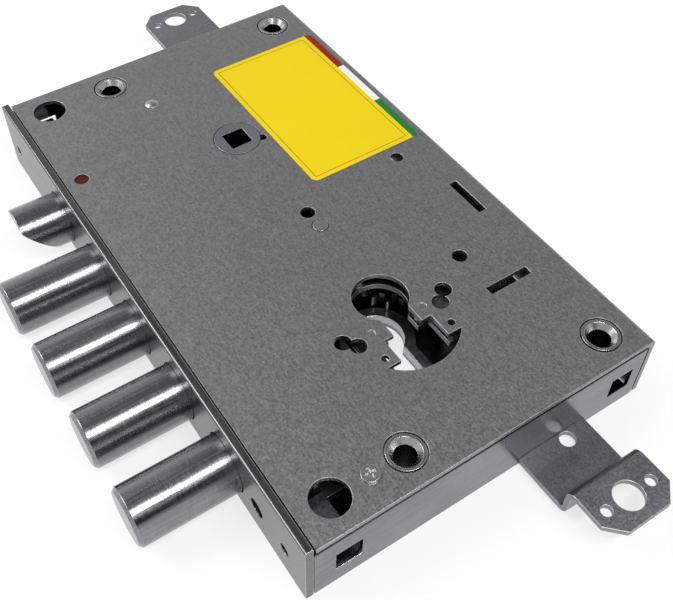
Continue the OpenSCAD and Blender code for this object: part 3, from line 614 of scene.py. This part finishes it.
def floor_material():
    """A pale floor that looks white to the camera and to reflections, and keeps the object's shadow."""
    glow_share = 0.7
    material, tree, shader = new_material("pale_floor")
    shader.inputs["Base Color"].default_value = (0.9, 0.9, 0.9, 1)
    shader.inputs["Roughness"].default_value = 0.9
    shader.inputs["Specular IOR Level"].default_value = 0.0
    glow = make_node(tree, "ShaderNodeEmission", inputs={"Color": (1, 1, 1, 1), "Strength": 1.0})
    path = make_node(tree, "ShaderNodeLightPath")
    seen = make_math(tree, "MAXIMUM", path.outputs["Is Camera Ray"], path.outputs["Is Glossy Ray"])
    seen = make_math(tree, "MAXIMUM", seen, path.outputs["Is Transmission Ray"])
    share = make_math(tree, "MULTIPLY", seen, glow_share)
    mix = make_node(tree, "ShaderNodeMixShader", inputs={"Fac": share})
    tree.links.new(shader.outputs[0], mix.inputs[1])
    tree.links.new(glow.outputs[0], mix.inputs[2])
    tree.links.new(mix.outputs[0], tree.nodes["Material Output"].inputs["Surface"])
    return material


def add_floor():
    """A round floor, 8 m across, just under the case."""
    gap = 0.2 * MM
    shape = bmesh.new()
    bmesh.ops.create_circle(shape, cap_ends=True, segments=96, radius=4.0)
    floor = new_object("floor", shape)
    floor.location.z = -gap
    paint(floor, floor_material())


def room_walls(tree):
    """The studio's walls in reflections: white low down, darker higher up, with a dark doorway."""
    levels_by_height = [(0.0, 1.0), (0.3, 0.85), (0.6, 0.62), (0.72, 0.31), (0.9, 0.22)]
    towards_doorway = Vector((0.13, -0.80, 0.58)).normalized()
    doorway_fade = {"From Min": 0.93, "From Max": 0.975, "To Min": 1.0, "To Max": 0.02}
    place = make_node(tree, "ShaderNodeTexCoord").outputs["Generated"]
    parts = make_node(tree, "ShaderNodeSeparateXYZ", inputs={"Vector": place})
    ramp = make_node(tree, "ShaderNodeValToRGB")
    tree.links.new(parts.outputs["Z"], ramp.inputs["Fac"])
    while len(ramp.color_ramp.elements) < len(levels_by_height):
        ramp.color_ramp.elements.new(0.5)
    for element, (height, level) in zip(ramp.color_ramp.elements, levels_by_height):
        element.position = height
        element.color = (level, level, level, 1)
    nearness = make_node(tree, "ShaderNodeVectorMath", operation="DOT_PRODUCT")
    tree.links.new(place, nearness.inputs[0])
    nearness.inputs[1].default_value = towards_doorway
    doorway = make_node(tree, "ShaderNodeMapRange", inputs=doorway_fade)
    tree.links.new(nearness.outputs["Value"], doorway.inputs["Value"])
    return make_mix(tree, 1.0, ramp.outputs["Color"], doorway.outputs["Result"], blend="MULTIPLY")


def add_room():
    """The studio around the object, white to the camera and through glass."""
    world = bpy.data.worlds.new("studio")
    bpy.context.scene.world = world
    world.use_nodes = True
    tree = world.node_tree
    back = tree.nodes["Background"]
    path = make_node(tree, "ShaderNodeLightPath")
    white = make_math(tree, "MAXIMUM", path.outputs["Is Camera Ray"], path.outputs["Is Transmission Ray"])
    tree.links.new(make_mix(tree, white, room_walls(tree), (1, 1, 1, 1)), back.inputs["Color"])
    back.inputs["Strength"].default_value = 1.0


def add_light(name, place, size, power):
    """A rectangular soft light, with its power in watts, that looks at the origin."""
    lamp = bpy.data.lights.new(name, "AREA")
    lamp.shape = "RECTANGLE"
    lamp.size, lamp.size_y = size
    lamp.energy = power
    holder = bpy.data.objects.new(name, lamp)
    holder.location = place
    holder.rotation_euler = (-Vector(place)).to_track_quat("-Z", "Y").to_euler()
    bpy.context.scene.collection.objects.link(holder)


def add_camera():
    """The camera at the photograph's place, with the photograph's frame."""
    lens = bpy.data.cameras.new("camera")
    lens.sensor_width = 36.0
    lens.lens = FOCAL_PIXELS * lens.sensor_width / IMAGE_WIDTH
    lens.shift_x, lens.shift_y = CAMERA_SHIFT
    lens.clip_start = 0.01
    holder = bpy.data.objects.new("camera", lens)
    axes = Matrix((CAMERA_RIGHT, -CAMERA_DOWN, -CAMERA_AHEAD)).transposed()
    holder.matrix_world = Matrix.Translation(CAMERA_AT) @ axes.to_4x4()
    bpy.context.scene.collection.objects.link(holder)
    bpy.context.scene.camera = holder


bpy.context.scene.view_settings.view_transform = "Standard"
add_floor()
add_room()
add_light("key_strip", place=(0.0, -0.42, 0.86), size=(0.7, 0.16), power=5.6)
add_light("far_softbox", place=(-0.9, 0.9, 1.3), size=(1.2, 1.2), power=22.0)
add_camera()
